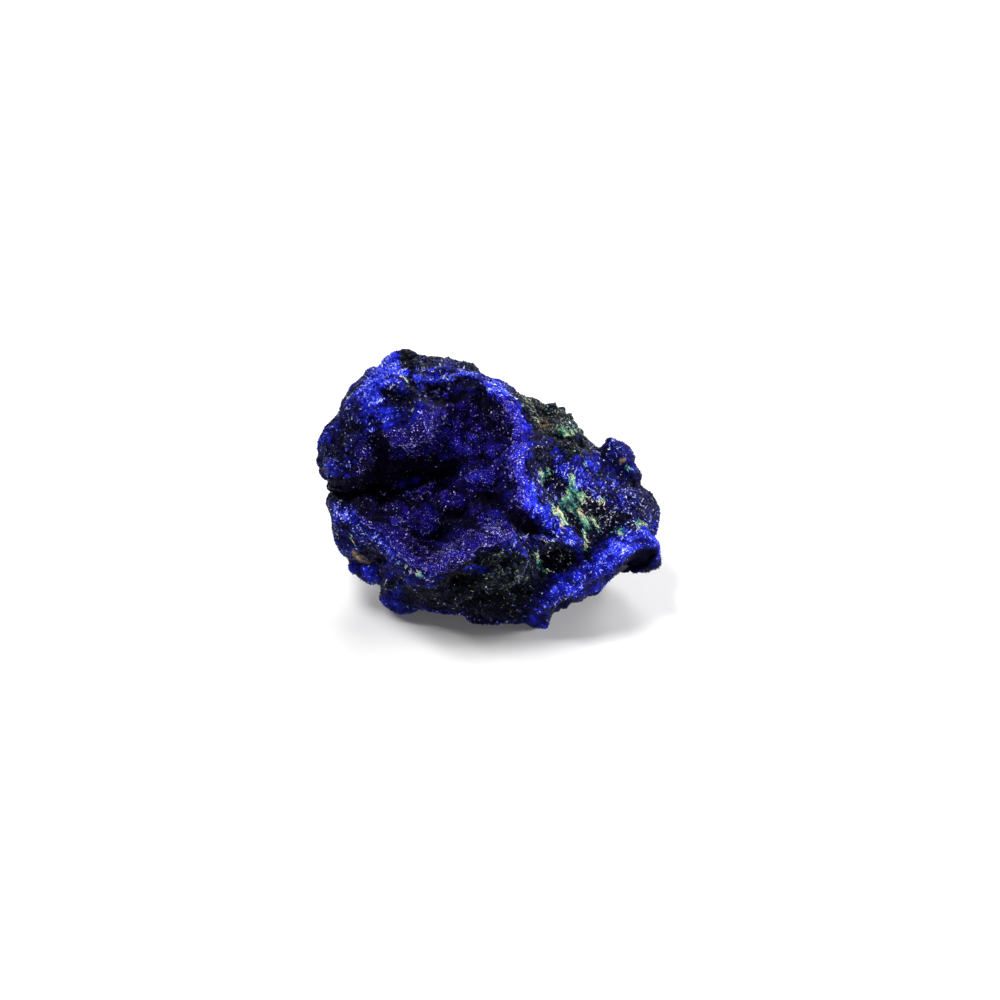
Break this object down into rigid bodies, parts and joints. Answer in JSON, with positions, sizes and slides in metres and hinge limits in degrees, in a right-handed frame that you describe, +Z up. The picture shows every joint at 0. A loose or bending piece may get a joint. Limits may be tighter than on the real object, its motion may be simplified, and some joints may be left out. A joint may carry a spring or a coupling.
{
  "type": "azurite specimen",
  "caption": "Natural lump of massive azurite and dark matrix with a deep hollow lined by a crust of small sparkling blue crystals, resting on ground feet.",
  "frame": {"origin": "middle of the bounding box, on the ground that the feet stand on", "axes": "+X along the longest extent, to the right as the hollow is looked into; +Z up; the hollow opens towards -Y and up"},
  "size_m": [0.0358, 0.0263, 0.0242],
  "materials": {
    "massive_azurite": "rough, granular",
    "azurite_druse": "fine glittering crystals"
  },
  "bodies": {
    "root": {"azurite_rock": "massive_azurite", "hollow_crust": "azurite_druse"}
  },
  "joints": []
}
